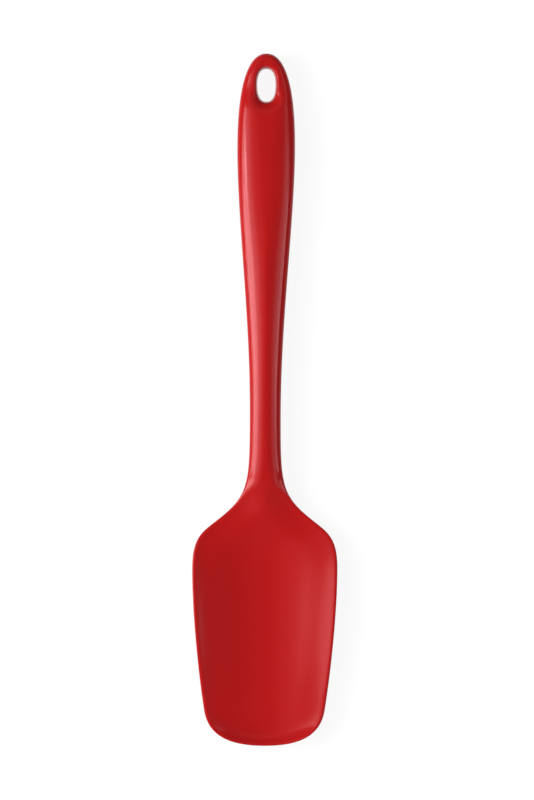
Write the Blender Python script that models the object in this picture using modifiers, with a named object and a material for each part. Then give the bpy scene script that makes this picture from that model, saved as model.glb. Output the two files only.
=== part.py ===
"""Silicone turner: a seamless silicone sheath over a nylon handle core and a steel spine.

Metres, +Z up. The turner lies on its back with its dished face up. +Y points along the
handle to the hanging eye, X runs across the blade, and the origin is at table level under
the middle of the length. A distance called s is measured from the eye end towards the tip.
"""

import math

import bmesh
import bpy
import numpy as np
from mathutils import Matrix, Vector
from mathutils.geometry import interpolate_bezier

# Plan view of the sheath: widths, where they lie, and the pulls of the curves between them,
# which are shares of the run from one to the next
LENGTH = 0.2800
END_PULL = 0.21
GRIP_WIDTH = 0.0234
GRIP_FROM_END = 0.0377
GRIP_PULL_TO_END = 0.573
GRIP_PULL_TO_NECK = 0.274
NECK_WIDTH = 0.0125
NECK_FROM_TIP = 0.1339
NECK_PULL_TO_GRIP = 0.374
NECK_PULL_TO_BLADE = 0.646
SHOULDER_WIDTH = 0.0418
SHOULDER_FROM_TIP = 0.0900
SHOULDER_ANGLE = math.radians(52.3)
SHOULDER_PULL_TO_NECK = 0.389
SHOULDER_PULL_TO_BLADE = 0.311
BLADE_WIDTH = 0.0588
BLADE_WIDEST_FROM_TIP = 0.0720
BLADE_PULL_TO_SHOULDER = 0.573
BLADE_PULL_TO_CORNER = 0.297
CORNER_WIDTH = 0.0488
CORNER_FROM_TIP = 0.0144
CORNER_ANGLE = math.radians(8.9)
CORNER_PULL_TO_BLADE = 0.28
CORNER_PULL_TO_TIP = 0.367
TIP_PULL = 0.494

# Side view of the sheath: thicknesses on the centre line, and heights of its middle
EYE_THICKNESS = 0.0086
BELOW_EYE_THICKNESS = 0.0116
BELOW_EYE_FROM_END = 0.0225
GRIP_THICKNESS = 0.0140
THICKEST_FROM_END = 0.0457
NECK_THICKNESS = 0.0100
NECK_HEIGHT = 0.0076
STEM_RUN = 0.0220
STEM_END_THICKNESS = 0.0090
STEM_END_HEIGHT = 0.0073
BLADE_ROOT_THICKNESS = 0.0052
BLADE_THICKNESS = 0.0040
TIP_HEIGHT = 0.0026
REST_LAND_DEPTH = 0.00026

# Rounded faces: how far in from the outline they roll down to it, the power of that curve,
# and the share of the thickness that stands upright at the outline
END_ROLL = 0.0022
EYE_SIDE_ROLL = 0.0050
BELOW_EYE_ROLL = 0.0085
SIDE_ROUNDNESS = 0.97
GRIP_CROWN = 2.0
NECK_CROWN = 1.6
NECK_CROWN_FROM_END = 0.0900
UPRIGHT_SIDE = 0.33
UPRIGHT_SHOULDER = 0.75
UPRIGHT_LIP = 0.25
LIP_ROLL_SHARE = 0.6
SHOULDER_START = 0.0030
SHOULDER_RUN = 0.0125

# Hanging eye: an oval hole, with a dish below it in both faces
EYE_WIDTH = 0.0075
EYE_LENGTH = 0.0133
EYE_FROM_END = 0.0062
EYE_SQUARENESS = 2.4
EYE_ROLL = 0.0012
EYE_DISH_RUN = 0.0060
EYE_DISH_DEPTH = 0.0024

# Dished blade: how far its rim rises above its middle, and the flexible lip round it
BOWL_DEPTH = 0.0070
BOWL_FROM_TIP = 0.0660
BOWL_FLAT_RUN = 0.0160
DISH_RUN_UP = 0.0060
DISH_DEPTH = 0.0078
DISH_FROM_TIP = 0.0440
CORNER_RISE = 0.0070
TIP_RISE = 0.0048
TIP_RISE_RUN = 0.0140
TIP_RISE_BEND = 0.0055
LIP_WIDTH = 0.0120
STEM_EDGE_WIDTH = 0.0060
LIP_THICKNESS = 0.0021
LIP_RUN = 0.0200

# Nylon core of the handle, moulded inside the silicone skin
SKIN = 0.0020
CORE_ROLL_SHARE = 0.75
EYE_LINING = 0.0016
CORE_EYE_ROLL = 0.0009
CORE_END_FROM_TIP = 0.1120
CORE_END_ROUNDNESS = 0.8
KEY_SLOT_WIDTH = 0.0050
KEY_SLOT_LENGTH = 0.0200
KEY_SLOT_TO_SPINE = 0.0080
PIN_HOLE_DIAMETER = 0.0026
PIN_HOLE_FROM_END = 0.0860
PIN_HOLE_FROM_TIP = 0.1550

# Steel spine: a strip in the core that widens into a tongue in the blade
SPINE_THICKNESS = 0.0010
SPINE_START_FROM_END = 0.0600
SPINE_END_FROM_TIP = 0.0170
NYLON_BESIDE_SPINE = 0.00175
QUARTER_CIRCLE_PULL = 0.39
STRAIGHT_PULL = 0.33
FLARE_FROM_TIP = 0.1060
FLARE_PULL = 0.29
TONGUE_WIDEST_FROM_TIP = 0.0680
TONGUE_PULL_TO_NECK = 0.32
TONGUE_PULL_TO_CORNER = 0.38
TONGUE_CORNER_PULL_TO_BLADE = 0.24
TONGUE_CORNER_PULL_TO_TIP = 0.385
TONGUE_END_PULL = 0.44
LOCK_HOLE_SHARE = 0.48
LOCK_HOLES = 3
LOCK_HOLE_PITCH = 0.0300
LOCK_HOLE_TO_SPINE_START = 0.0100
KEY_HOLE_DIAMETER = 0.0060
KEY_ROWS = 3
KEY_ROW_PITCH = 0.0160
KEY_ROW_SPAN = 0.0160
KEY_ROW_TO_SPINE_END = 0.0150
CLEARANCE = 0.0003

# How finely the faces are divided, and where the lines across them bunch up
CURVE_STEPS = 60
CORE_END_STEPS = 12
EYE_SPOKES = 16
FLANK_SPOKES = 6
BODY_SPOKES = 48
BODY_COLUMNS = 8
CORE_SPOKES = 26
CORE_COLUMNS = 5
SPINE_SPOKES = 40
SPINE_COLUMNS = 3
HOLE_SIDES = 16
SHARE_STEPS = 200
TURN_WEIGHT = 0.0300
ROLL_WEIGHT = 0.35
SPOKE_LEAN = 0.4
EYE_FAN_RUN = 0.0040
FLANK_RUN = 0.0160
BODY_RUN_OUT = 0.0300
BODY_LAST_SPOKE = 0.0140
CORE_RUN_OUT = 0.0040
CORE_LAST_SPOKE = 0.0030
SPINE_RUN_OUT = 0.0140
SPINE_LAST_SPOKE = 0.0060
WELD = 0.00001

# Places that follow from the sizes above
HALF_LENGTH = LENGTH / 2
TIP = -HALF_LENGTH
EYE_MIDDLE = EYE_FROM_END + EYE_LENGTH / 2
NECK = LENGTH - NECK_FROM_TIP
STEM_END = NECK + STEM_RUN
BOWL = LENGTH - BOWL_FROM_TIP
LIP_START = STEM_END + LIP_RUN
GRIP_HEIGHT = GRIP_THICKNESS / 2 - REST_LAND_DEPTH
BOWL_HEIGHT = BLADE_THICKNESS / 2 - REST_LAND_DEPTH
SPINE_WIDTH = NECK_WIDTH - 2 * (SKIN + NYLON_BESIDE_SPINE)
LOCK_HOLE_DIAMETER = SPINE_WIDTH * LOCK_HOLE_SHARE
BELOW_ALL = -GRIP_THICKNESS
ABOVE_ALL = 2 * GRIP_THICKNESS


def place(s):
    """The y of a distance from the eye end."""
    return HALF_LENGTH - s


def heading(angle):
    """Unit vector towards the tip, turned outwards by an angle."""
    return (math.sin(angle), -math.cos(angle))


def curve_through(knots):
    """Points of a smooth plan curve. A knot is (x, y, heading, pull behind, pull ahead)."""
    points = []
    for (x, y, way, _, ahead), (next_x, next_y, next_way, behind, _) in zip(knots, knots[1:]):
        start, end = Vector((x, y)), Vector((next_x, next_y))
        run_length = (end - start).length
        leave = start + Vector(way) * ahead * run_length
        arrive = end - Vector(next_way) * behind * run_length
        run = interpolate_bezier(start, leave, arrive, end, CURVE_STEPS)
        points += [tuple(p) for p in (run[1:] if points else run)]
    return np.array(points)


def body_outline():
    """Right half of the sheath's plan outline, from the eye end to the tip."""
    return curve_through([
        (0, HALF_LENGTH, (1, 0), 0, END_PULL),
        (GRIP_WIDTH / 2, place(GRIP_FROM_END), heading(0), GRIP_PULL_TO_END, GRIP_PULL_TO_NECK),
        (NECK_WIDTH / 2, place(NECK), heading(0), NECK_PULL_TO_GRIP, NECK_PULL_TO_BLADE),
        (SHOULDER_WIDTH / 2, TIP + SHOULDER_FROM_TIP, heading(SHOULDER_ANGLE),
         SHOULDER_PULL_TO_NECK, SHOULDER_PULL_TO_BLADE),
        (BLADE_WIDTH / 2, TIP + BLADE_WIDEST_FROM_TIP, heading(0),
         BLADE_PULL_TO_SHOULDER, BLADE_PULL_TO_CORNER),
        (CORNER_WIDTH / 2, TIP + CORNER_FROM_TIP, heading(-CORNER_ANGLE),
         CORNER_PULL_TO_BLADE, CORNER_PULL_TO_TIP),
        (0, TIP, (-1, 0), TIP_PULL, 0),
    ])


def eye_outline(growth=0.0):
    """Right half of the hanging eye, from its upper end to its lower end."""
    angle = np.linspace(0, math.pi, CURVE_STEPS)
    power = 2 / EYE_SQUARENESS
    across = np.abs(np.sin(angle)) ** power * (EYE_WIDTH / 2 + growth)
    along = np.sign(np.cos(angle)) * np.abs(np.cos(angle)) ** power * (EYE_LENGTH / 2 + growth)
    across[[0, -1]] = 0
    return np.column_stack([across, place(EYE_MIDDLE) + along])


def core_outline(inset):
    """The handle part of the outline moved inwards, closed by a round end inside the neck."""
    outline = body_outline()
    step = np.gradient(outline, axis=0)
    inward = np.column_stack([step[:, 1], -step[:, 0]])
    moved = outline + inward / np.linalg.norm(inward, axis=1)[:, None] * inset
    end = TIP + CORE_END_FROM_TIP + inset - SKIN
    corner = np.interp(-end, -moved[:, 1], moved[:, 0]) * CORE_END_ROUNDNESS
    side = moved[moved[:, 1] > end + corner]
    side[0, 0] = 0
    angle = np.linspace(0, math.pi / 2, CORE_END_STEPS)[1:]
    across = side[-1, 0] * np.cos(angle)
    across[-1] = 0
    round_end = np.column_stack([across, end + corner * (1 - np.sin(angle))])
    return np.concatenate([side, round_end])


def spine_outline(growth):
    """Right half of the steel strip's outline, which spreads into a tongue in the blade."""
    strip = SPINE_WIDTH / 2 + growth
    tongue = BLADE_WIDTH / 2 - LIP_WIDTH + growth
    corner = CORNER_WIDTH / 2 - LIP_WIDTH + growth
    start = place(SPINE_START_FROM_END) + growth
    return curve_through([
        (0, start, (1, 0), 0, QUARTER_CIRCLE_PULL),
        (strip, start - strip, heading(0), QUARTER_CIRCLE_PULL, STRAIGHT_PULL),
        (strip, TIP + FLARE_FROM_TIP, heading(0), STRAIGHT_PULL, FLARE_PULL),
        (tongue, TIP + TONGUE_WIDEST_FROM_TIP, heading(0),
         TONGUE_PULL_TO_NECK, TONGUE_PULL_TO_CORNER),
        (corner, TIP + CORNER_FROM_TIP + LIP_WIDTH, heading(-CORNER_ANGLE),
         TONGUE_CORNER_PULL_TO_BLADE, TONGUE_CORNER_PULL_TO_TIP),
        (0, TIP + SPINE_END_FROM_TIP - growth, (-1, 0), TONGUE_END_PULL, 0),
    ])


def arc_lengths(points):
    return np.concatenate([[0], np.cumsum(np.linalg.norm(np.diff(points, axis=0), axis=1))])


def spaced(points, count):
    """That many steps along a curve, shorter where it turns."""
    steps = np.diff(points, axis=0)
    angle = np.unwrap(np.arctan2(steps[:, 1], steps[:, 0]))
    turning = np.concatenate([[0], np.abs(np.diff(angle)), [0]])
    measure = arc_lengths(points) + TURN_WEIGHT * np.cumsum(turning)
    wanted = np.linspace(0, measure[-1], count + 1)
    return np.column_stack([np.interp(wanted, measure, points[:, k]) for k in (0, 1)])


def distance_to(points, curve):
    """Shortest distance from each plan point to a plan curve."""
    start, step = curve[:-1], np.diff(curve, axis=0)
    away = points[:, None, :] - start[None]
    share = np.clip((away * step).sum(2) / (step**2).sum(1), 0, 1)
    return np.linalg.norm(away - share[..., None] * step, axis=2).min(1)


def bearings(points):
    """Angle of each plan point about the eye's middle: 0 towards the end, pi towards the tip."""
    return np.arctan2(points[:, 0], points[:, 1] - place(EYE_MIDDLE))


def smooth(s, *stations):
    """A value that runs smoothly through (s, value) stations without overshooting them."""
    at, value = np.array(stations, float).T
    width, slope = np.diff(at), np.diff(value) / np.diff(at)
    same_way = slope[:-1] * slope[1:] > 0
    total = np.where(same_way, slope[:-1] + slope[1:], 1)
    tangent = np.zeros(len(at))
    tangent[1:-1] = np.where(same_way, 2 * slope[:-1] * slope[1:] / total, 0)
    s = np.clip(s, at[0], at[-1])
    k = np.clip(np.searchsorted(at, s) - 1, 0, len(width) - 1)
    t = (s - at[k]) / width[k]
    rise = value[k] * (1 - t) ** 2 * (1 + 2 * t) + value[k + 1] * t**2 * (3 - 2 * t)
    bend = width[k] * t * (1 - t) * (tangent[k] * (1 - t) - tangent[k + 1] * t)
    return rise + bend


def half_thickness(s):
    """Half the sheath's thickness on its centre line."""
    return smooth(
        s,
        (EYE_MIDDLE, EYE_THICKNESS / 2),
        (BELOW_EYE_FROM_END, BELOW_EYE_THICKNESS / 2),
        (THICKEST_FROM_END, GRIP_THICKNESS / 2),
        (NECK, NECK_THICKNESS / 2),
        (STEM_END, STEM_END_THICKNESS / 2),
        (LIP_START, BLADE_ROOT_THICKNESS / 2),
        (BOWL, BLADE_THICKNESS / 2),
    )


def blade_share(from_edge, s):
    """Share of the way from the rim's thickness to the full one, at points inside the rim."""
    width = smooth(s, (STEM_END, STEM_EDGE_WIDTH), (LIP_START, LIP_WIDTH))
    inwards = np.clip(from_edge / width, 0, 1)
    return inwards**2 * (3 - 2 * inwards)


def edge_rounding(s):
    """How far in from the outline the faces roll down to it: nearly to the middle of a grip."""
    return smooth(
        s,
        (0, END_ROLL),
        (EYE_MIDDLE, EYE_SIDE_ROLL),
        (BELOW_EYE_FROM_END, BELOW_EYE_ROLL),
        (THICKEST_FROM_END, GRIP_WIDTH / 2 * SIDE_ROUNDNESS),
        (NECK, NECK_WIDTH / 2 * SIDE_ROUNDNESS),
        (STEM_END + SHOULDER_START, NECK_WIDTH / 2 * SIDE_ROUNDNESS),
        (STEM_END + SHOULDER_RUN, LIP_THICKNESS * LIP_ROLL_SHARE),
    )


def eye_dish(points, from_eye):
    """How far each face is sunk below the eye, at plan points so far from the eye's edge."""
    below = smooth(bearings(points) / math.pi, (0.55, 0), (0.9, 1))
    return EYE_DISH_DEPTH * below * np.clip(1 - from_eye / EYE_DISH_RUN, 0, 1) ** 2


def eye_growth(inset):
    """How far a body's own eye lies outside the sheath's."""
    return EYE_LINING + inset - SKIN if inset else 0


def middle_height(x, s):
    """Height of the surface midway between the front and the back."""
    centre = smooth(
        s,
        (THICKEST_FROM_END, GRIP_HEIGHT),
        (NECK, NECK_HEIGHT),
        (STEM_END, STEM_END_HEIGHT),
        (BOWL, BOWL_HEIGHT),
        (BOWL + BOWL_FLAT_RUN, BOWL_HEIGHT),
        (LENGTH, TIP_HEIGHT),
    )
    dish = smooth(
        s,
        (STEM_END - DISH_RUN_UP, 0),
        (BOWL, BOWL_DEPTH),
        (LENGTH - DISH_FROM_TIP, DISH_DEPTH),
        (LENGTH, CORNER_RISE),
    )
    aside = (x / (BLADE_WIDTH / 2)) ** 2
    from_tip = LENGTH - s - TIP_RISE_BEND * aside
    curl = TIP_RISE * np.clip(1 - from_tip / TIP_RISE_RUN, 0, 1) ** 3
    return centre + curl + dish * aside


def rounding(share, power=2.0):
    """Height of a rounded edge, as a share, at a share of the way in from it: 2 is an ellipse."""
    return (1 - (1 - np.clip(share, 0, 1)) ** power) ** (1 / power)


def side_rounding(from_edge, s, inset):
    """Share of the full thickness left so far in from the outline, above its upright side."""
    power = smooth(s, (THICKEST_FROM_END, GRIP_CROWN), (NECK_CROWN_FROM_END, NECK_CROWN))
    upright = smooth(
        s,
        (STEM_END + SHOULDER_START, UPRIGHT_SIDE),
        (STEM_END + SHOULDER_RUN, UPRIGHT_SHOULDER),
        (LIP_START + LIP_RUN, UPRIGHT_LIP),
    )
    roll = edge_rounding(s) * (CORE_ROLL_SHARE if inset else 1)
    return upright + (1 - upright) * rounding(from_edge / roll, power)


def faces_of(points, outline, eye, inset=0.0):
    """Back and front heights at plan points of the sheath, or of a body inset within it.

    The back is cut flat at table level, which leaves a rest land under the bowl and the grip.
    """
    s = HALF_LENGTH - points[:, 1]
    from_edge, from_eye = distance_to(points, outline), distance_to(points, eye)
    full = half_thickness(s) - eye_dish(points, from_eye + eye_growth(inset))
    rim = full + (LIP_THICKNESS / 2 - full) * smooth(s, (STEM_END, 0), (LIP_START, 1))
    half = rim + (full - rim) * blade_share(from_edge, s) - inset
    half *= side_rounding(from_edge, s, inset)
    half *= rounding(from_eye / (CORE_EYE_ROLL if inset else EYE_ROLL))
    middle = middle_height(points[:, 0], s)
    return np.maximum(middle - half, 0), middle + half


def spoke_shares(length, outer_roll, inner_roll, columns):
    """Steps along a spoke from the outline inwards, shorter where an edge is rounded."""
    share = np.linspace(0, 1, SHARE_STEPS)
    turn = np.arccos(1 - np.clip(share * length / outer_roll, 0, 1))
    if inner_roll:
        turn -= np.arccos(1 - np.clip((1 - share) * length / inner_roll, 0, 1))
    turn = (turn - turn[0]) / (turn[-1] - turn[0])
    measure = share + (turn - share) * ROLL_WEIGHT
    return np.interp(np.linspace(0, 1, columns + 1), measure, share)


def spokes_between(outer, inner, columns, inner_roll, near_eye):
    """Grid of plan points: a row for each pair of an outline point and its inner partner.

    near_eye says for each row how far its steps follow the roll into the eye, from 0 to 1.
    """
    rows = []
    for edge, partner, weight in zip(outer, inner, near_eye):
        length = np.linalg.norm(partner - edge)
        roll = edge_rounding(HALF_LENGTH - edge[1])
        plain = spoke_shares(length, roll, 0, columns)
        rolled = spoke_shares(length, roll, inner_roll, columns)
        shares = plain + (rolled - plain) * weight
        rows.append(edge + (partner - edge) * shares[:, None])
    return np.array(rows)


def centre_partners(outer, first, last, run_in, run_out):
    """Points on the centre line: level with the outline, but gathered at both ends."""
    along = arc_lengths(outer)
    level = (outer[:, 1] < outer[0, 1] - run_in) & (outer[:, 1] > outer[-1, 1] + run_out)
    known_at = np.concatenate([along[:1], along[level], along[-1:]])
    known = np.concatenate([[first], outer[level, 1], [last]])
    return np.column_stack([np.zeros(len(outer)), np.interp(along, known_at, known)])


def eye_and_body_spokes(outline, eye, body_spokes, columns, eye_roll, run_out, last_spoke):
    """Spokes of a body with the eye in it: a fan round the eye, its flank, then the rest."""
    eye_end = eye[-1, 1]
    split = int(np.argmax(outline[:, 1] < eye_end - EYE_FAN_RUN))
    flank_end = int(np.argmax(outline[:, 1] < eye_end - EYE_FAN_RUN - FLANK_RUN))
    around = outline[: split + 1]
    eye_points = spaced(eye, EYE_SPOKES)
    share = bearings(eye_points) / math.pi
    wanted = bearings(around)[-1] * share * (1 + SPOKE_LEAN * (1 - share))
    fan = np.column_stack([np.interp(wanted, bearings(around), around[:, k]) for k in (0, 1)])

    flank = spaced(outline[split: flank_end + 1], FLANK_SPOKES)[1:]
    step = np.arange(1, FLANK_SPOKES + 1) / FLANK_SPOKES
    below_eye = np.column_stack([0 * step, eye_end + (flank[-1, 1] - eye_end) * step**2])

    body = spaced(outline[flank_end:], body_spokes)[1:]
    level = centre_partners(body, body[0, 1], outline[-1, 1] + last_spoke, 0, run_out)
    outer = np.concatenate([fan, flank, body])
    inner = np.concatenate([eye_points, below_eye, level])
    near_eye = np.concatenate([np.ones(EYE_SPOKES + 1), 1 - step, np.zeros(body_spokes)])
    return spokes_between(outer, inner, columns, eye_roll, near_eye)


def object_from(name, shape, group):
    """A new object from a bmesh, in a collection."""
    mesh = bpy.data.meshes.new(name)
    shape.to_mesh(mesh)
    shape.free()
    made = bpy.data.objects.new(name, mesh)
    group.objects.link(made)
    return made


def modify(target, kind, **settings):
    made = target.modifiers.new(kind.title(), kind)
    for key, value in settings.items():
        setattr(made, key, value)


def half_slab(name, grid, heights, group):
    """A loft between unlike sections, from its right half, mirrored.

    Its back and its front are sheets over one grid, joined by an upright side along the
    outline. They share their points along the eye, where the grid's first rows end.
    """
    rows, columns = grid.shape[:2]
    back, front = (h.reshape(rows, columns) for h in heights(grid.reshape(-1, 2)))
    shell = bmesh.new()
    lower, upper = [], []
    for i in range(rows):
        lower.append([shell.verts.new((*grid[i, j], back[i, j])) for j in range(columns)])
        upper.append([shell.verts.new((*grid[i, j], front[i, j])) for j in range(columns - 1)])
        at_eye = i <= EYE_SPOKES
        upper[i].append(lower[i][-1] if at_eye else shell.verts.new((*grid[i, -1], front[i, -1])))
    for i in range(rows - 1):
        shell.faces.new([lower[i + 1][0], lower[i][0], upper[i][0], upper[i + 1][0]])
        for j in range(columns - 1):
            for sheet, order in ((lower, 1), (upper, -1)):
                corners = [sheet[i][j], sheet[i + 1][j], sheet[i + 1][j + 1], sheet[i][j + 1]]
                shell.faces.new(corners[::order])
    bmesh.ops.triangulate(shell, faces=shell.faces, quad_method="SHORT_EDGE")
    made = object_from(name, shell, group)
    modify(made, "MIRROR", merge_threshold=WELD)
    return made


def sheath_body(name, group):
    outline, eye = body_outline(), eye_outline()
    grid = eye_and_body_spokes(
        outline, eye, BODY_SPOKES, BODY_COLUMNS, EYE_ROLL, BODY_RUN_OUT, BODY_LAST_SPOKE)
    return half_slab(name, grid, lambda plan: faces_of(plan, outline, eye), group)


def core_body(name, inset, group):
    """The handle core, inset from the sheath's surface: SKIN for itself, less for its seat."""
    outline = core_outline(inset)
    eye = eye_outline(eye_growth(inset))
    grid = eye_and_body_spokes(
        outline, eye, CORE_SPOKES, CORE_COLUMNS, CORE_EYE_ROLL, CORE_RUN_OUT, CORE_LAST_SPOKE)
    return half_slab(name, grid, lambda plan: faces_of(plan, outline, eye, inset), group)


def spine_body(name, growth, group):
    """The steel spine, or the seat for it, bent to the sheath's middle surface."""
    edge = spaced(spine_outline(growth), SPINE_SPOKES)
    first = edge[0, 1] - SPINE_WIDTH / 4
    centre = centre_partners(
        edge, first, edge[-1, 1] + SPINE_LAST_SPOKE, SPINE_WIDTH, SPINE_RUN_OUT)
    shares = np.linspace(0, 1, SPINE_COLUMNS + 1)[None, :, None]
    grid = edge[:, None, :] + (centre - edge)[:, None, :] * shares
    height = middle_height(grid[..., 0], HALF_LENGTH - grid[..., 1])
    sheet = bmesh.new()
    points = [[sheet.verts.new((*plan, z)) for plan, z in zip(*row)] for row in zip(grid, height)]
    for row, following in zip(points, points[1:]):
        for j in range(SPINE_COLUMNS):
            sheet.faces.new([row[j], row[j + 1], following[j + 1], following[j]])
    made = object_from(name, sheet, group)
    modify(made, "MIRROR", merge_threshold=WELD)
    modify(made, "SOLIDIFY", thickness=SPINE_THICKNESS + 2 * growth, offset=0)
    return made


def uprights(name, places, width, group, length=0.0, to_middle=False):
    """Upright cutters at plan places: round, or long in y with round ends.

    They run right through, or from below to the middle height with to_middle.
    """
    stretch = max(length - width, 0) / 2
    posts = bmesh.new()
    for x, y in places:
        high = middle_height(x, HALF_LENGTH - y) if to_middle else ABOVE_ALL
        centre = Matrix.Translation((x, y, (BELOW_ALL + high) / 2))
        turned = Matrix.Rotation(math.pi / HOLE_SIDES, 4, "Z")
        post = bmesh.ops.create_cone(
            posts, cap_ends=True, segments=HOLE_SIDES, radius1=width / 2, radius2=width / 2,
            depth=high - BELOW_ALL, matrix=centre @ turned)
        for corner in post["verts"]:
            corner.co.y += math.copysign(stretch, corner.co.y - y)
    return object_from(name, posts, group)


def lock_hole_places():
    """Holes in the strip that the nylon runs through, along the handle."""
    first = SPINE_START_FROM_END + LOCK_HOLE_TO_SPINE_START
    return [(0, place(first + k * LOCK_HOLE_PITCH)) for k in range(LOCK_HOLES)]


def key_hole_places():
    """Holes in the tongue that the silicone runs through, in pairs up the blade."""
    first = TIP + SPINE_END_FROM_TIP + KEY_ROW_TO_SPINE_END
    rows = [first + k * KEY_ROW_PITCH for k in range(KEY_ROWS)]
    return [(side * KEY_ROW_SPAN / 2, y) for y in rows for side in (-1, 1)]


def key_slot_places():
    """The slot through the handle core, between the eye and the start of the spine."""
    return [(0, place(SPINE_START_FROM_END - KEY_SLOT_TO_SPINE - KEY_SLOT_LENGTH / 2))]


def pin_hole_places():
    """Holes in the back of the handle's skin, left by the pins that hold the core in the mould."""
    return [(0, place(PIN_HOLE_FROM_END)), (0, TIP + PIN_HOLE_FROM_TIP)]


def cut(target, *cutters):
    for cutter in cutters:
        modify(target, "BOOLEAN", operation="DIFFERENCE", object=cutter)


def finish(target, name, colour, roughness, metallic=0.0):
    """Smooth shading and the piece's own material."""
    material = bpy.data.materials.new(name)
    material.use_nodes = True
    shader = material.node_tree.nodes["Principled BSDF"]
    shader.inputs["Base Color"].default_value = (*colour, 1)
    shader.inputs["Roughness"].default_value = roughness
    shader.inputs["Metallic"].default_value = metallic
    target.data.materials.append(material)
    target.data.shade_smooth()
    target.data.set_sharp_from_angle(angle=math.radians(40))


def collection(name):
    made = bpy.data.collections.new(name)
    bpy.context.scene.collection.children.link(made)
    return made


def build():
    for old in list(bpy.data.objects):
        bpy.data.objects.remove(old)
    turner, cutters = collection("silicone_turner"), collection("cutters")
    gap = 2 * CLEARANCE

    spine = spine_body("steel_spine", 0, turner)
    cut(spine,
        uprights("lock_holes", lock_hole_places(), LOCK_HOLE_DIAMETER, cutters),
        uprights("key_holes", key_hole_places(), KEY_HOLE_DIAMETER, cutters))

    spine_seat = spine_body("spine_seat", CLEARANCE, cutters)
    cut(spine_seat,
        uprights("lock_pegs", lock_hole_places(), LOCK_HOLE_DIAMETER - gap, cutters),
        uprights("key_pegs", key_hole_places(), KEY_HOLE_DIAMETER - gap, cutters))

    slot = key_slot_places()
    core = core_body("nylon_handle_core", SKIN, turner)
    cut(core,
        spine_seat,
        uprights("key_slot", slot, KEY_SLOT_WIDTH, cutters, KEY_SLOT_LENGTH))

    core_seat = core_body("core_seat", SKIN - CLEARANCE, cutters)
    cut(core_seat,
        uprights("key_web", slot, KEY_SLOT_WIDTH - gap, cutters, KEY_SLOT_LENGTH - gap))

    sheath = sheath_body("silicone_sheath", turner)
    cut(sheath,
        core_seat,
        spine_seat,
        uprights("pin_holes", pin_hole_places(), PIN_HOLE_DIAMETER, cutters, to_middle=True))

    for cutter in cutters.objects:
        cutter.hide_render = True
        cutter.display_type = "WIRE"
    finish(sheath, "red_silicone", (0.46, 0.010, 0.012), 0.34)
    finish(core, "filled_nylon", (0.035, 0.035, 0.037), 0.55)
    finish(spine, "stainless_steel", (0.60, 0.60, 0.61), 0.32, 1.0)


build()
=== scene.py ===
"""Looks of the silicone turner: its finished sheath, the finishes of its core and spine, the
studio and the camera.

Metres. The turner lies on its back on z = 0, with +Y towards its hanging eye and its dished
face up. A distance called s is measured from the eye end towards the tip.
"""

import math

import bmesh
import bpy
import numpy as np
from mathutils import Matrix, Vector
from mathutils.geometry import interpolate_bezier


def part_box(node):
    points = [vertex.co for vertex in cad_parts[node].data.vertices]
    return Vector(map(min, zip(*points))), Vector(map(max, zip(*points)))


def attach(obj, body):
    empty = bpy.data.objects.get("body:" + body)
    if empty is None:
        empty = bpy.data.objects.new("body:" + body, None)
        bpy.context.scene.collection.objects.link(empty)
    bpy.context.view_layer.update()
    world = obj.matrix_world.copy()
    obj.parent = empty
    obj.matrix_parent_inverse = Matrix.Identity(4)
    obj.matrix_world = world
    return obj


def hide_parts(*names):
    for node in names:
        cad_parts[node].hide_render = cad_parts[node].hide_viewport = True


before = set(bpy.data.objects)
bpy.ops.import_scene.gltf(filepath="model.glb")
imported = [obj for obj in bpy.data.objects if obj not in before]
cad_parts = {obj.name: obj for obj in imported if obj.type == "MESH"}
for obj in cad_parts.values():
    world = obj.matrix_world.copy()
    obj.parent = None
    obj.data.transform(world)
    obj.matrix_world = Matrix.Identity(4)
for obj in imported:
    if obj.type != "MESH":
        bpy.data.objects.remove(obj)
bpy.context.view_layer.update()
sheath_low, sheath_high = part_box("silicone_sheath")

# Plan view of the sheath: widths, where they lie, and the pulls of the curves between them,
# which are shares of the run from one to the next
LENGTH = sheath_high.y - sheath_low.y
END_PULL = 0.21
GRIP_WIDTH = 0.0234
GRIP_FROM_END = 0.0377
GRIP_PULLS = (0.573, 0.274)
NECK_WIDTH = 0.0125
NECK_FROM_TIP = 0.1339
NECK_PULLS = (0.374, 0.646)
SHOULDER_WIDTH = 0.0418
SHOULDER_FROM_TIP = 0.0900
SHOULDER_ANGLE = math.radians(52.3)
SHOULDER_PULLS = (0.389, 0.311)
BLADE_WIDTH = sheath_high.x - sheath_low.x
BLADE_WIDEST_FROM_TIP = 0.0720
BLADE_PULLS = (0.573, 0.297)
CORNER_WIDTH = 0.0488
CORNER_FROM_TIP = 0.0144
CORNER_ANGLE = math.radians(8.9)
CORNER_PULLS = (0.280, 0.367)
TIP_PULL = 0.494

# Side view of the sheath: thicknesses on the centre line, and heights of its middle
REST_LAND_DEPTH = 0.00026
EYE_THICKNESS = 0.0086
BELOW_EYE_THICKNESS = 0.0116
BELOW_EYE_FROM_END = 0.0225
GRIP_THICKNESS = sheath_high.z + REST_LAND_DEPTH
THICKEST_FROM_END = 0.0457
NECK_THICKNESS = 0.0100
NECK_HEIGHT = 0.0076
STEM_RUN = 0.0220
STEM_END_THICKNESS = 0.0090
STEM_END_HEIGHT = 0.0073
BLADE_ROOT_THICKNESS = 0.0052
BLADE_THICKNESS = 0.0040
TIP_HEIGHT = 0.0026
REST_SOFTNESS = 0.00004

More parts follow.
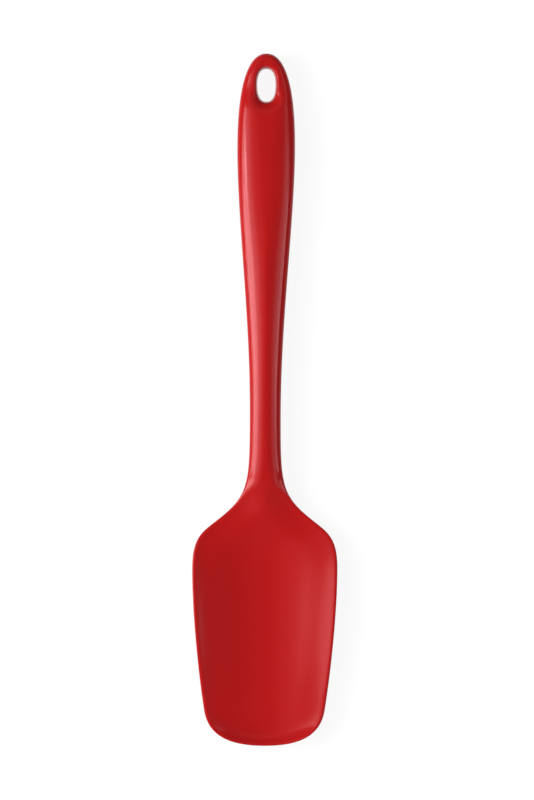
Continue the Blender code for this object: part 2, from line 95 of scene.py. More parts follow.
# Rounded faces: how far in from the outline they roll down to it, the power of that curve,
# and the share of the thickness that stands upright at the outline
END_ROLL = 0.0022
EYE_SIDE_ROLL = 0.0050
BELOW_EYE_ROLL = 0.0085
SIDE_ROUNDNESS = 0.97
GRIP_CROWN = 2.0
NECK_CROWN = 1.6
NECK_CROWN_FROM_END = 0.0900
UPRIGHT_SIDE = 0.33
UPRIGHT_SHOULDER = 0.75
UPRIGHT_LIP = 0.25
LIP_ROLL_SHARE = 0.6
SHOULDER_START = 0.0030
SHOULDER_RUN = 0.0125

# Hanging eye: an oval hole, with a thumb-wide dish below it. The dish comes in between two
# bearings about the eye, which are shares of the half turn from the end to the tip
EYE_WIDTH = 0.0075
EYE_LENGTH = 0.0133
EYE_FROM_END = 0.0062
EYE_SQUARENESS = 2.4
EYE_ROLL = 0.0012
EYE_DISH_RUN = 0.0060
EYE_DISH_DEPTH = 0.0024
EYE_DISH_FROM, EYE_DISH_FULL = 0.55, 0.9

# Dished blade: how far its rim rises above its middle, and the flexible lip round it
BOWL_DEPTH = 0.0070
BOWL_FROM_TIP = 0.0660
BOWL_FLAT_RUN = 0.0160
DISH_RUN_UP = 0.0060
DISH_DEPTH = 0.0078
DISH_FROM_TIP = 0.0440
CORNER_RISE = 0.0070
TIP_RISE = 0.0048
TIP_RISE_RUN = 0.0140
TIP_RISE_POWER = 3
TIP_RISE_BEND = 0.0055
LIP_WIDTH = 0.0120
STEM_EDGE_WIDTH = 0.0060
LIP_THICKNESS = 0.0021
LIP_RUN = 0.0200

# Marks of the mould: the fine ridge where its halves met, and the pits of its two core pins
PARTING_HEIGHT = 0.00006
PARTING_HALF_WIDTH = 0.00014
PIN_HOLE_DIAMETER = 0.0026
PIN_HOLE_FROM_END = 0.0860
PIN_HOLE_FROM_TIP = 0.1550
PIN_HOLE_MOUTH_ROLL = 0.0003

# Space for what the silicone is moulded over, and how far at most a sharp corner of it grows,
# as a multiple of that clearance
SEAT_CLEARANCE = 0.0003
CORNER_GROWTH = 1.5

# How finely the surface is divided, and where the lines across it bunch up. The rolled mouths
# of the pits turn in steps of so many degrees
CURVE_STEPS = 90
EYE_STEPS = 360
EYE_SPOKES = 48
FLANK_SPOKES = 20
BODY_SPOKES = 250
COLUMNS = 24
SHARE_STEPS = 600
TURN_WEIGHT = 0.0300
ROLL_WEIGHT = 0.45
SPOKE_LEAN = 0.4
EYE_FAN_RUN = 0.0040
FLANK_RUN = 0.0160
TIP_FAN_RUN = 0.0300
LAST_SPOKE = 0.0140
PIN_HOLE_SIDES = 48
PIN_HOLE_MOUTH_TURN = 15

# How near each other corners are welded, the angle from which an edge is sharp, and the slots
# that tell the skin and the walls of the pits apart while the sheath is being made
WELD = 0.000002
SHARP_ANGLE = math.radians(35)
SKIN_SLOT, PIT_SLOT = 0, 1

# Places that follow from the sizes above
HALF_LENGTH = LENGTH / 2
TIP = -HALF_LENGTH
EYE_MIDDLE = EYE_FROM_END + EYE_LENGTH / 2
NECK = LENGTH - NECK_FROM_TIP
STEM_END = NECK + STEM_RUN
BOWL = LENGTH - BOWL_FROM_TIP
LIP_START = STEM_END + LIP_RUN
GRIP_HEIGHT = GRIP_THICKNESS / 2 - REST_LAND_DEPTH
BOWL_HEIGHT = BLADE_THICKNESS / 2 - REST_LAND_DEPTH

# The photograph's frame: its size in pixels, its scale, and where the turner lies in it
PHOTO_WIDTH, PHOTO_HEIGHT = 534, 800
PIXEL = 0.00040474
TURNER_MIDDLE_PX = (265.37, 399.68)
TURNER_LEAN = math.radians(0.19)
CAMERA_DISTANCE = 1.5
SENSOR = 36.0
OUTLINE_HEIGHT = 0.006

# Finishes: the two colours that each one runs between, its patterns in cells to a metre, the
# depth of its relief in metres, and its roughness with what the patterns add to it. The
# silicone's gloss is tinted, since light comes back from a thin layer of pigment as well
PIGMENT = ((0.451, 0.0080, 0.0086), (0.503, 0.0098, 0.0106))
CLOUD_CELLS = 55
SMEAR_CELLS = 130
GRAIN_CELLS = 2600
SPECKLE_CELLS = 900
CLOUD_SHARE = 0.7
SPECKLE_RELIEF = 0.2
GRAIN_DEPTH = 0.00002
SILICONE_ROUGHNESS = 0.15
SMEAR_ROUGHNESS = 0.03
GRAIN_ROUGHNESS = 0.02
SILICONE_IOR = 1.41
GLOSS_LEVEL = 0.41
GLOSS_TINT = (1.0, 0.60, 0.63)
BLACK_NYLON = ((0.026, 0.026, 0.028), (0.046, 0.046, 0.048))
FIBRE_CELLS = 3200
FLOW_CELLS = 90
FIBRE_SHARE = 0.6
FIBRE_DEPTH = 0.00003
NYLON_ROUGHNESS = 0.47
FIBRE_ROUGHNESS = 0.16
ROLLED_STEEL = ((0.56, 0.56, 0.57), (0.64, 0.64, 0.645))
ROLL_LINE_CELLS = 6000
STAIN_CELLS = 120
ROLL_LINE_DEPTH = 0.000008
STEEL_ROUGHNESS = 0.24
ROLL_LINE_ROUGHNESS = 0.14

# Places of the colours among the inputs of a Mix node, and of the mixed one among its outputs
MIX_FIRST, MIX_SECOND, MIX_RESULT = 6, 7, 2

# Studio: the floor, the dim room, and boxes of light round the turner. A box is given by the
# bearing it stands at (0 is +X, 90 is +Y), the heights above the horizon between which it
# shines, its length, how far it is shifted along the turner, and its radiance
FLOOR_SIZE = 40.0
FLOOR_GAP = 0.0001
FLOOR_COLOUR = (0.70, 0.70, 0.70)
FLOOR_GLOW = 1.12
FLOOR_GLOW_SHARE = 0.80
DIM_ROOM = 0.15
LIGHT_DISTANCE = 1.0
SOFT_BOXES = {
    "key_low": (180, 14, 24, 0.77, -0.315, 7.0),
    "key": (180, 24, 34, 0.14, 0.000, 16.1),
    "key_eye_side": (180, 29, 34, 0.14, 0.140, 19.2),
    "key_high": (180, 34, 46, 0.32, -0.090, 10.9),
    "key_high_eye_side": (180, 40, 46, 0.14, 0.140, 30.9),
    "key_wing": (180, 34, 46, 0.14, 0.280, 10.8),
    "key_top": (180, 46, 60, 0.60, 0.050, 3.2),
    "left_upper": (180, 60, 66, 1.20, 0.000, 1.2),
    "left_top": (180, 66, 72, 1.20, 0.000, 0.52),
    "left_overhead": (180, 72, 80, 1.20, 0.000, 0.35),
    "right_low": (0, 26, 34, 0.14, 0.000, 7.5),
    "right_middle": (0, 34, 42, 0.28, 0.070, 3.0),
    "right_upper": (0, 42, 52, 1.20, 0.000, 1.7),
    "right_top": (0, 52, 62, 1.20, 0.000, 0.16),
    "eye_end_upper": (90, 40, 60, 0.80, 0.000, 0.3),
    "tip_low": (-90, 10, 40, 1.00, 0.000, 0.8),
    "tip_upper": (-90, 40, 65, 0.80, 0.000, 0.13),
}


def place(s):
    """The y of a distance from the eye end."""
    return HALF_LENGTH - s


def heading(angle):
    """Unit vector towards the tip, turned outwards by an angle."""
    return Vector((math.sin(angle), -math.cos(angle)))


def unit(steps):
    """The same steps, each with a length of 1."""
    return steps / np.linalg.norm(steps, axis=1)[:, None]


def arc_lengths(points):
    """How far along a curve each of its points lies."""
    return np.concatenate([[0], np.cumsum(np.linalg.norm(np.diff(points, axis=0), axis=1))])


def sheath_outline():
    """Right half of the plan outline, from the eye end to the tip."""
    knots = [
        ((0, HALF_LENGTH), Vector((1, 0)), (0, END_PULL)),
        ((GRIP_WIDTH / 2, place(GRIP_FROM_END)), heading(0), GRIP_PULLS),
        ((NECK_WIDTH / 2, place(NECK)), heading(0), NECK_PULLS),
        ((SHOULDER_WIDTH / 2, TIP + SHOULDER_FROM_TIP), heading(SHOULDER_ANGLE), SHOULDER_PULLS),
        ((BLADE_WIDTH / 2, TIP + BLADE_WIDEST_FROM_TIP), heading(0), BLADE_PULLS),
        ((CORNER_WIDTH / 2, TIP + CORNER_FROM_TIP), heading(-CORNER_ANGLE), CORNER_PULLS),
        ((0, TIP), Vector((-1, 0)), (TIP_PULL, 0)),
    ]
    points = []
    for (at, way, (_, ahead)), (next_at, next_way, (behind, _)) in zip(knots, knots[1:]):
        start, end = Vector(at), Vector(next_at)
        run = (end - start).length
        leave, arrive = start + way * ahead * run, end - next_way * behind * run
        curve = interpolate_bezier(start, leave, arrive, end, CURVE_STEPS)
        points += [tuple(p) for p in (curve[1:] if points else curve)]
    return np.array(points)


def eye_outline():
    """Right half of the hanging eye, from its upper end to its lower end."""
    angle = np.linspace(0, math.pi, EYE_STEPS)
    power = 2 / EYE_SQUARENESS
    across = np.abs(np.sin(angle)) ** power * EYE_WIDTH / 2
    along = np.sign(np.cos(angle)) * np.abs(np.cos(angle)) ** power * EYE_LENGTH / 2
    across[[0, -1]] = 0
    return np.column_stack([across, place(EYE_MIDDLE) + along])


def outward(points):
    """Unit vectors square to a plan curve that runs clockwise, seen from the front."""
    step = unit(np.gradient(points, axis=0))
    return np.column_stack([-step[:, 1], step[:, 0]])


def on_middle_plane(points):
    """The same curve with its two ends put exactly on the middle plane."""
    points[[0, -1], 0] = 0
    return points


def spaced(points, count):
    """That many steps along a curve, shorter where it turns."""
    steps = np.diff(points, axis=0)
    angle = np.unwrap(np.arctan2(steps[:, 1], steps[:, 0]))
    turning = np.concatenate([[0], np.abs(np.diff(angle)), [0]])
    measure = arc_lengths(points) + TURN_WEIGHT * np.cumsum(turning)
    wanted = np.linspace(0, measure[-1], count + 1)
    return np.column_stack([np.interp(wanted, measure, points[:, k]) for k in (0, 1)])


def distance_to(points, curve):
    """Shortest distance from each plan point to a plan curve."""
    start, step = curve[:-1], np.diff(curve, axis=0)
    away = points[:, None, :] - start[None]
    share = np.clip((away * step).sum(2) / (step**2).sum(1), 0, 1)
    return np.linalg.norm(away - share[..., None] * step, axis=2).min(1)


def bearings(points):
    """Angle of each plan point about the eye's middle: 0 towards the end, pi towards the tip."""
    return np.arctan2(points[:, 0], points[:, 1] - place(EYE_MIDDLE))


def smooth(s, *stations):
    """A value that runs smoothly through (s, value) stations without overshooting them."""
    at, value = np.array(stations, float).T
    width, slope = np.diff(at), np.diff(value) / np.diff(at)
    same_way = slope[:-1] * slope[1:] > 0
    total = np.where(same_way, slope[:-1] + slope[1:], 1)
    tangent = np.zeros(len(at))
    tangent[1:-1] = np.where(same_way, 2 * slope[:-1] * slope[1:] / total, 0)
    s = np.clip(s, at[0], at[-1])
    k = np.clip(np.searchsorted(at, s) - 1, 0, len(width) - 1)
    t = (s - at[k]) / width[k]
    rise = value[k] * (1 - t) ** 2 * (1 + 2 * t) + value[k + 1] * t**2 * (3 - 2 * t)
    bend = width[k] * t * (1 - t) * (tangent[k] * (1 - t) - tangent[k + 1] * t)
    return rise + bend


def half_thickness(s):
    """Half the sheath's thickness on its centre line."""
    return smooth(
        s,
        (EYE_MIDDLE, EYE_THICKNESS / 2),
        (BELOW_EYE_FROM_END, BELOW_EYE_THICKNESS / 2),
        (THICKEST_FROM_END, GRIP_THICKNESS / 2),
        (NECK, NECK_THICKNESS / 2),
        (STEM_END, STEM_END_THICKNESS / 2),
        (LIP_START, BLADE_ROOT_THICKNESS / 2),
        (BOWL, BLADE_THICKNESS / 2),
    )


def edge_rounding(s):
    """How far in from the outline the faces roll down to it: nearly to the middle of a grip."""
    return smooth(
        s,
        (0, END_ROLL),
        (EYE_MIDDLE, EYE_SIDE_ROLL),
        (BELOW_EYE_FROM_END, BELOW_EYE_ROLL),
        (THICKEST_FROM_END, GRIP_WIDTH / 2 * SIDE_ROUNDNESS),
        (NECK, NECK_WIDTH / 2 * SIDE_ROUNDNESS),
        (STEM_END + SHOULDER_START, NECK_WIDTH / 2 * SIDE_ROUNDNESS),
        (STEM_END + SHOULDER_RUN, LIP_THICKNESS * LIP_ROLL_SHARE),
    )


def middle_height(x, s):
    """Height of the surface midway between the front and the back."""
    centre = smooth(
        s,
        (THICKEST_FROM_END, GRIP_HEIGHT),
        (NECK, NECK_HEIGHT),
        (STEM_END, STEM_END_HEIGHT),
        (BOWL, BOWL_HEIGHT),
        (BOWL + BOWL_FLAT_RUN, BOWL_HEIGHT),
        (LENGTH, TIP_HEIGHT),
    )
    dish = smooth(
        s,
        (STEM_END - DISH_RUN_UP, 0),
        (BOWL, BOWL_DEPTH),
        (LENGTH - DISH_FROM_TIP, DISH_DEPTH),
        (LENGTH, CORNER_RISE),
    )
    aside = (x / (BLADE_WIDTH / 2)) ** 2
    from_tip = LENGTH - s - TIP_RISE_BEND * aside
    curl = TIP_RISE * np.clip(1 - from_tip / TIP_RISE_RUN, 0, 1) ** TIP_RISE_POWER
    return centre + curl + dish * aside


def rounding(share, power=2.0):
    """Height of a rounded edge, as a share, at a share of the way in from it.

    A power of 2 gives an ellipse.
    """
    return (1 - (1 - np.clip(share, 0, 1)) ** power) ** (1 / power)


def side_rounding(from_edge, s):
    """Share of the full thickness left so far in from the outline, above its upright side."""
    power = smooth(s, (THICKEST_FROM_END, GRIP_CROWN), (NECK_CROWN_FROM_END, NECK_CROWN))
    upright = smooth(
        s,
        (STEM_END + SHOULDER_START, UPRIGHT_SIDE),
        (STEM_END + SHOULDER_RUN, UPRIGHT_SHOULDER),
        (LIP_START + LIP_RUN, UPRIGHT_LIP),
    )
    return upright + (1 - upright) * rounding(from_edge / edge_rounding(s), power)


def eye_dish(points, from_eye):
    """How far each face is sunk below the eye, at plan points so far from the eye's edge."""
    below = smooth(bearings(points) / math.pi, (EYE_DISH_FROM, 0), (EYE_DISH_FULL, 1))
    return EYE_DISH_DEPTH * below * np.clip(1 - from_eye / EYE_DISH_RUN, 0, 1) ** 2


def faces_at(points, outline, eye):
    """Half the thickness of the sheath at plan points, and the height of its middle there."""
    s = HALF_LENGTH - points[:, 1]
    from_edge, from_eye = distance_to(points, outline), distance_to(points, eye)
    full = half_thickness(s) - eye_dish(points, from_eye)
    rim = full + (LIP_THICKNESS / 2 - full) * smooth(s, (STEM_END, 0), (LIP_START, 1))
    lip_width = smooth(s, (STEM_END, STEM_EDGE_WIDTH), (LIP_START, LIP_WIDTH))
    into_blade = np.clip(from_edge / lip_width, 0, 1)
    half = rim + (full - rim) * into_blade**2 * (3 - 2 * into_blade)
    half *= side_rounding(from_edge, s) * rounding(from_eye / EYE_ROLL)
    return half, middle_height(points[:, 0], s)


def above_table(height):
    """A height that is eased to table level where the turner's own weight flattens its back."""
    return (height + np.sqrt(height**2 + REST_SOFTNESS**2)) / 2


def spoke_shares(length, outer_roll, inner_roll):
    """Steps along a spoke from the outline inwards, shorter where an edge is rounded."""
    share = np.linspace(0, 1, SHARE_STEPS)
    turn = np.arccos(1 - np.clip(share * length / outer_roll, 0, 1))
    if inner_roll:
        turn -= np.arccos(1 - np.clip((1 - share) * length / inner_roll, 0, 1))
    turn = (turn - turn[0]) / (turn[-1] - turn[0])
    measure = share + (turn - share) * ROLL_WEIGHT
    return np.interp(np.linspace(0, 1, COLUMNS + 1), measure, share)


def sheath_spokes(outline, eye):
    """Pairs of plan points: on the outline, and opposite them on the eye or the centre line.

    A fan of spokes goes round the eye, a flank leads away from it, and the rest lie level
    until they fan out again over the tip. The third result is 1 for a spoke that ends on the
    eye, and falls to 0 along the flank.
    """
    eye_end = eye[-1, 1]
    split = int(np.argmax(outline[:, 1] < eye_end - EYE_FAN_RUN))
    flank_end = int(np.argmax(outline[:, 1] < eye_end - EYE_FAN_RUN - FLANK_RUN))
    around = outline[: split + 1]
    eye_points = spaced(eye, EYE_SPOKES)
    share = bearings(eye_points) / math.pi
    wanted = bearings(around)[-1] * share * (1 + SPOKE_LEAN * (1 - share))
    fan = np.column_stack([np.interp(wanted, bearings(around), around[:, k]) for k in (0, 1)])

    flank = spaced(outline[split: flank_end + 1], FLANK_SPOKES)[1:]
    step = np.arange(1, FLANK_SPOKES + 1) / FLANK_SPOKES
    below_eye = np.column_stack([0 * step, eye_end + (flank[-1, 1] - eye_end) * step**2])

    body = spaced(outline[flank_end:], BODY_SPOKES)[1:]
    along = arc_lengths(body)
    level = body[:, 1] > TIP + TIP_FAN_RUN
    known_at = np.concatenate([along[level], along[-1:]])
    known = np.concatenate([body[level, 1], [TIP + LAST_SPOKE]])
    centre = np.column_stack([0 * along, np.interp(along, known_at, known)])

    outer = on_middle_plane(np.concatenate([fan, flank, body]))
    inner = np.concatenate([eye_points, below_eye, centre])
    near_eye = np.concatenate([np.ones(EYE_SPOKES + 1), 1 - step, np.zeros(BODY_SPOKES)])
    return outer, inner, near_eye


def sheath_half():
    """Right half of the sheath as closed loops round its section, one for each spoke.

    A loop runs over the front from the middle to the outline, over the crest of the parting
    ridge, and back over the back. Round the eye it closes over the crest inside the eye.
    """
    crest_line = sheath_outline()
    outline = on_middle_plane(crest_line - outward(crest_line) * PARTING_HEIGHT)
    eye = eye_outline()
    outer, inner, near_eye = sheath_spokes(outline, eye)
    crest = on_middle_plane(outer + outward(outer) * PARTING_HEIGHT)
    eye_side = inner[: EYE_SPOKES + 1]
    into_eye = on_middle_plane(eye_side - outward(eye_side) * PARTING_HEIGHT)

    loops = []
    for i, (edge, partner, weight) in enumerate(zip(outer, inner, near_eye)):
        length = np.linalg.norm(partner - edge)
        roll = edge_rounding(HALF_LENGTH - edge[1])
        plain, rolled = spoke_shares(length, roll, 0), spoke_shares(length, roll, EYE_ROLL)
        spoke = edge + (partner - edge) * (plain + (rolled - plain) * weight)[:, None]
        half, middle = faces_at(spoke, outline, eye)
        half = np.maximum(half, PARTING_HALF_WIDTH)
        front = np.column_stack([spoke, middle + half])[::-1]
        back = np.column_stack([spoke, above_table(middle - half)])
        ridge = [
            (*outer[i], middle[0] + PARTING_HALF_WIDTH),
            (*crest[i], middle[0]),
            (*outer[i], middle[0] - PARTING_HALF_WIDTH),
        ]
        loop = [*front, *ridge, *back]
        if i <= EYE_SPOKES:
            loop.append((*into_eye[i], middle[-1]))
        loops.append(loop)
    return loops


def mesh_object(name, shape):
    """A new object in the scene from a bmesh."""
    bmesh.ops.recalc_face_normals(shape, faces=shape.faces)
    mesh = bpy.data.meshes.new(name)
    shape.to_mesh(mesh)
    shape.free()
    made = bpy.data.objects.new(name, mesh)
    bpy.context.scene.collection.objects.link(made)
    return made


def solid_sheath():
    """The sheath before its inside is cut out: the half made of loops, and its mirror image."""
    shape = bmesh.new()
    loops = [[shape.verts.new(p) for p in loop] for loop in sheath_half()]
    for i, (loop, following) in enumerate(zip(loops, loops[1:])):
        pairs = list(zip(loop, following))
        if i < EYE_SPOKES:
            pairs.append(pairs[0])
        for (a, b), (next_a, next_b) in zip(pairs, pairs[1:]):
            shape.faces.new([a, next_a, next_b, b])
    half = shape.verts[:] + shape.edges[:] + shape.faces[:]
    bmesh.ops.mirror(shape, geom=half, axis="X", merge_dist=WELD)
    return mesh_object("silicone_turner_sheath", shape)


def seat_for(node):
    """The hollow that a piece of the frame lies in: its own solid, grown on all sides."""
    shape = bmesh.new()
    shape.from_mesh(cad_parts[node].data)
    bmesh.ops.remove_doubles(shape, verts=shape.verts, dist=WELD)
    bmesh.ops.recalc_face_normals(shape, faces=shape.faces)
    shape.normal_update()
    for corner in shape.verts:
        growth = min(corner.calc_shell_factor(), CORNER_GROWTH)
        corner.co += corner.normal * SEAT_CLEARANCE * growth
    return mesh_object(node + "_seat", shape)


def pin_pits():
    """The pits that the mould's core pins left in the back, with softly rolled mouths."""
    shape = bmesh.new()
    radius, roll = PIN_HOLE_DIAMETER / 2, PIN_HOLE_MOUTH_ROLL
    turns = [math.radians(turn) for turn in range(0, 90 + 1, PIN_HOLE_MOUTH_TURN)]
    for y in (place(PIN_HOLE_FROM_END), TIP + PIN_HOLE_FROM_TIP):
        s = HALF_LENGTH - y
        top = float(middle_height(0, s))
        mouth = top - float(half_thickness(s))
        arc = [
            (radius + roll * (1 - math.cos(turn)), mouth + roll * (1 - math.sin(turn)))
            for turn in turns]
        below = mouth - roll
        profile = [(0, top), (radius, top), *arc, (radius + roll, below), (0, below)]
        line = [shape.verts.new((r, y, z)) for r, z in profile]
        edges = [shape.edges.new(pair) for pair in zip(line, line[1:])]
        bmesh.ops.spin(
            shape, geom=line + edges, cent=(0, y, 0), axis=(0, 0, 1), angle=math.tau,
            steps=PIN_HOLE_SIDES, use_merge=True)
    bmesh.ops.remove_doubles(shape, verts=shape.verts, dist=WELD)
    for face in shape.faces:
        face.material_index = PIT_SLOT
    return mesh_object("pin_pits", shape)


def in_order(mesh):
    """The corners and faces of a mesh and no more, in an order that their places decide.

    A cut is shared out among threads, so it gives them back in another order each time. It
    also leaves normals of its own, which would spoil the smooth shading.
    """
    points = [tuple(corner.co) for corner in mesh.vertices]
    faces = []
    for face in mesh.polygons:
        corners = [points[index] for index in face.vertices]
        first = corners.index(min(corners))
        faces.append((corners[first:] + corners[:first], face.material_index))
    shape = bmesh.new()
    made = {point: shape.verts.new(point) for point in sorted(points)}
    for corners, slot in sorted(faces):
        shape.faces.new([made[corner] for corner in corners]).material_index = slot
    return shape


def cut_out(target, *cutters):
    """Takes the cutters out of the target, and welds corners that fall almost together.

    The cutters are gone afterwards.
    """
    for cutter in cutters:
        cut = target.modifiers.new("Cut", "BOOLEAN")
        cut.operation, cut.solver, cut.object = "DIFFERENCE", "MANIFOLD", cutter
    evaluated = target.evaluated_get(bpy.context.evaluated_depsgraph_get())
    finished = bpy.data.meshes.new_from_object(evaluated)
    target.modifiers.clear()
    target.data = finished
    shape = in_order(finished)
    bmesh.ops.remove_doubles(shape, verts=shape.verts, dist=WELD)
    shape.to_mesh(finished)
    shape.free()
    for cutter in cutters:
        bpy.data.objects.remove(cutter)


def crisp_mouths(mesh):
    """Makes the mouths of the pits sharp edges. The slot that told their walls apart goes."""
    shape = bmesh.new()
    shape.from_mesh(mesh)
    for edge in shape.edges:
        if len({face.material_index for face in edge.link_faces}) > 1:
            edge.smooth = False
    for face in shape.faces:
        face.material_index = SKIN_SLOT
    shape.to_mesh(mesh)
    shape.free()
    mesh.materials.pop()


class Value:
    """An output of a finish's nodes. Adding and multiplying it adds Math nodes."""

    def __init__(self, finish, socket):
        self.finish = finish
        self.socket = socket

    def maths(self, operation, other):
        return self.finish.node("ShaderNodeMath", {"operation": operation}, {0: self, 1: other})

    def __add__(self, other):
        return self.maths("ADD", other)

    def __mul__(self, other):
        return self.maths("MULTIPLY", other)

    __radd__ = __add__
    __rmul__ = __mul__


class Finish:
    """The nodes of one material, or of the world."""

    def __init__(self, owner):
        owner.use_nodes = True
        self.tree = owner.node_tree
        self.tree.nodes.clear()

    def node(self, kind, settings=None, sockets=None, output=0):
        """Adds a node, with its settings first and then the values or links of its sockets."""
        made = self.tree.nodes.new(kind)
        for name, value in (settings or {}).items():
            setattr(made, name, value)
        for name, value in (sockets or {}).items():
            socket = made.inputs[name]
            if isinstance(value, Value):
                self.tree.links.new(value.socket, socket)
            else:
                socket.default_value = value
        return Value(self, made.outputs[output]) if made.outputs else None

    def noise(self, at, cells, detail=2.0, stretch=(1, 1, 1)):
        """A cloud of values from 0 to 1: so many cells to a metre, times the stretch."""
        spread = self.node(
            "ShaderNodeVectorMath", {"operation": "MULTIPLY"}, {0: at, 1: stretch})
        return self.node(
            "ShaderNodeTexNoise", {}, {"Vector": spread, "Scale": cells, "Detail": detail})

    def between(self, share, low, high):
        """A colour that goes from low to high with a value."""
        sockets = {0: share, MIX_FIRST: (*low, 1), MIX_SECOND: (*high, 1)}
        return self.node("ShaderNodeMix", {"data_type": "RGBA"}, sockets, MIX_RESULT)

    def relief(self, height, depth, strength):
        """The normal of a surface that a value raises by up to a depth."""
        return self.node(
            "ShaderNodeBump", {}, {"Strength": strength, "Distance": depth, "Height": height})

    def surface(self, sockets):
        """The shader that ends a material, with these values or links in its sockets."""
        shader = self.node("ShaderNodeBsdfPrincipled", {}, sockets)
        self.node("ShaderNodeOutputMaterial", {}, {"Surface": shader})


def silicone():
    """Satin moulded silicone: a slightly cloudy red pigment in a fine sparked mould texture."""
    material = bpy.data.materials.new("red_silicone")
    finish = Finish(material)
    at = finish.node("ShaderNodeTexCoord", output="Object")
    cloud = finish.noise(at, CLOUD_CELLS, detail=3)
    smears = finish.noise(at, SMEAR_CELLS, detail=4, stretch=(1, 0.35, 1))
    grain = finish.noise(at, GRAIN_CELLS)
    speckle = finish.noise(at, SPECKLE_CELLS, detail=3)
    finish.surface({
        "Base Color": finish.between(
            cloud * CLOUD_SHARE + speckle * (1 - CLOUD_SHARE), *PIGMENT),
        "Roughness": SILICONE_ROUGHNESS + smears * SMEAR_ROUGHNESS + grain * GRAIN_ROUGHNESS,
        "IOR": SILICONE_IOR,
        "Specular IOR Level": GLOSS_LEVEL,
        "Specular Tint": (*GLOSS_TINT, 1),
        "Normal": finish.relief(grain + speckle * SPECKLE_RELIEF, GRAIN_DEPTH, strength=0.2),
    })
    return material


def nylon():
    """Black glass-filled nylon: short fibres lie along the handle, just under a matt skin."""
    material = bpy.data.materials.new("filled_nylon")
    finish = Finish(material)
    at = finish.node("ShaderNodeTexCoord", output="Object")
    fibres = finish.noise(at, FIBRE_CELLS, detail=3, stretch=(1, 0.12, 1))
    flow = finish.noise(at, FLOW_CELLS, detail=3, stretch=(1, 0.3, 1))
    finish.surface({
        "Base Color": finish.between(
            fibres * FIBRE_SHARE + flow * (1 - FIBRE_SHARE), *BLACK_NYLON),
        "Roughness": NYLON_ROUGHNESS + fibres * FIBRE_ROUGHNESS,
        "Normal": finish.relief(fibres, FIBRE_DEPTH, strength=0.35),
    })
    return material


def steel():
    """Rolled stainless strip, with the fine lines of the rolls along it."""
    material = bpy.data.materials.new("stainless_steel")
    finish = Finish(material)
    at = finish.node("ShaderNodeTexCoord", output="Object")
    lines = finish.noise(at, ROLL_LINE_CELLS, stretch=(1, 0.015, 1))
    stain = finish.noise(at, STAIN_CELLS, detail=4)
    finish.surface({
        "Base Color": finish.between(stain, *ROLLED_STEEL),
        "Metallic": 1.0,
        "Roughness": STEEL_ROUGHNESS + lines * ROLL_LINE_ROUGHNESS,
        "Normal": finish.relief(lines, ROLL_LINE_DEPTH, strength=0.3),
    })
    return material


def sheath():
    """The silicone skin: cut out for what it is moulded over, and open at the pin pits."""
    made = solid_sheath()
    skin = silicone()
    for _ in (SKIN_SLOT, PIT_SLOT):
        made.data.materials.append(skin)
    cut_out(made, seat_for("nylon_handle_core"), seat_for("steel_spine"), pin_pits())
    made.data.shade_smooth()
    made.data.set_sharp_from_angle(angle=SHARP_ANGLE)
    crisp_mouths(made.data)
    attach(made, "root")
    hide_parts("silicone_sheath")


def inner_pieces():
    """The finishes of the core and the spine, whose shapes stay as the frame has them."""
    for node, finish in (("nylon_handle_core", nylon()), ("steel_spine", steel())):
        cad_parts[node].material_slots[0].material = finish


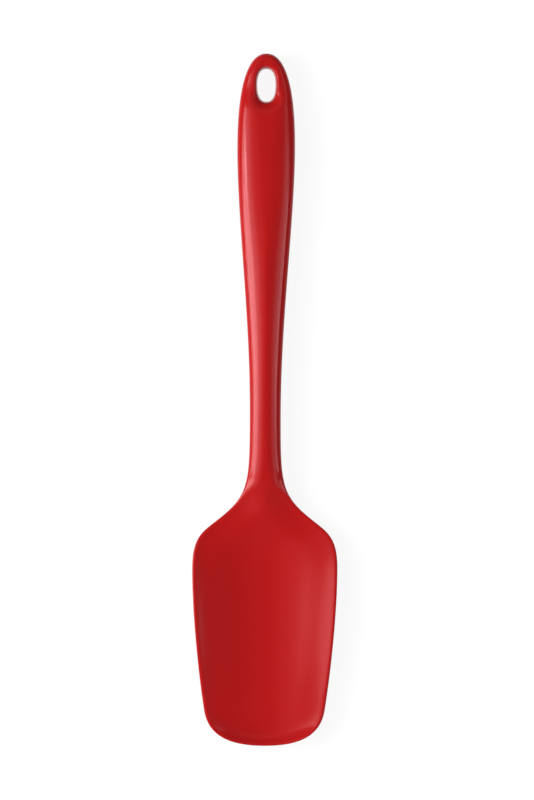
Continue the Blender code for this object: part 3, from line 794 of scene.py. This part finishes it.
def floor():
    """A pale studio floor. What the camera and reflections see of it is lifted to white."""
    shape = bmesh.new()
    bmesh.ops.create_grid(shape, x_segments=1, y_segments=1, size=FLOOR_SIZE / 2)
    made = mesh_object("studio_floor", shape)
    made.location.z = -FLOOR_GAP
    material = bpy.data.materials.new("pale_floor")
    finish = Finish(material)
    seen = sum(
        finish.node("ShaderNodeLightPath", output=f"Is {ray} Ray")
        for ray in ("Camera", "Glossy", "Transmission"))
    paper = finish.node("ShaderNodeBsdfDiffuse", {}, {"Color": (*FLOOR_COLOUR, 1)})
    white = finish.node("ShaderNodeEmission", {}, {"Strength": FLOOR_GLOW})
    both = finish.node(
        "ShaderNodeMixShader", {}, {0: seen * FLOOR_GLOW_SHARE, 1: paper, 2: white})
    finish.node("ShaderNodeOutputMaterial", {}, {"Surface": both})
    made.data.materials.append(material)


def soft_box(name, bearing, low, high, length, shift, radiance):
    """A rectangle of light that faces the turner."""
    turn, rise = math.radians(bearing), math.radians((low + high) / 2)
    level = math.cos(rise)
    way = Vector((math.cos(turn) * level, math.sin(turn) * level, math.sin(rise)))
    height = 2 * LIGHT_DISTANCE * math.tan(math.radians(high - low) / 2)
    light = bpy.data.lights.new(name, "AREA")
    light.shape = "RECTANGLE"
    light.size, light.size_y = length, height
    light.energy = radiance * math.pi * length * height
    made = bpy.data.objects.new(name, light)
    made.location = way * LIGHT_DISTANCE + Vector((0, shift, 0))
    made.rotation_euler = (-way).to_track_quat("-Z", "Y").to_euler()
    made.visible_camera = False
    bpy.context.scene.collection.objects.link(made)


def room():
    """The dim room round the studio."""
    world = bpy.data.worlds.new("dim_room")
    finish = Finish(world)
    glow = finish.node("ShaderNodeBackground", {}, {
        "Color": (DIM_ROOM, DIM_ROOM, DIM_ROOM, 1), "Strength": 1.0})
    finish.node("ShaderNodeOutputWorld", {}, {"Surface": glow})
    bpy.context.scene.world = world


def camera():
    """The photograph's view: straight down on the turner, through a long lens."""
    data = bpy.data.cameras.new("photo_camera")
    data.sensor_width = SENSOR
    data.lens = SENSOR * CAMERA_DISTANCE / (PIXEL * PHOTO_HEIGHT)
    made = bpy.data.objects.new("photo_camera", data)
    aside = (PHOTO_WIDTH / 2 - TURNER_MIDDLE_PX[0]) * PIXEL
    along = (TURNER_MIDDLE_PX[1] - PHOTO_HEIGHT / 2) * PIXEL
    made.location = (aside, along, OUTLINE_HEIGHT + CAMERA_DISTANCE)
    made.rotation_euler.z = TURNER_LEAN
    bpy.context.scene.collection.objects.link(made)
    bpy.context.scene.camera = made


camera()
sheath()
inner_pieces()
floor()
room()
for name, box in SOFT_BOXES.items():
    soft_box(name, *box)
bpy.context.scene.view_settings.view_transform = "Standard"
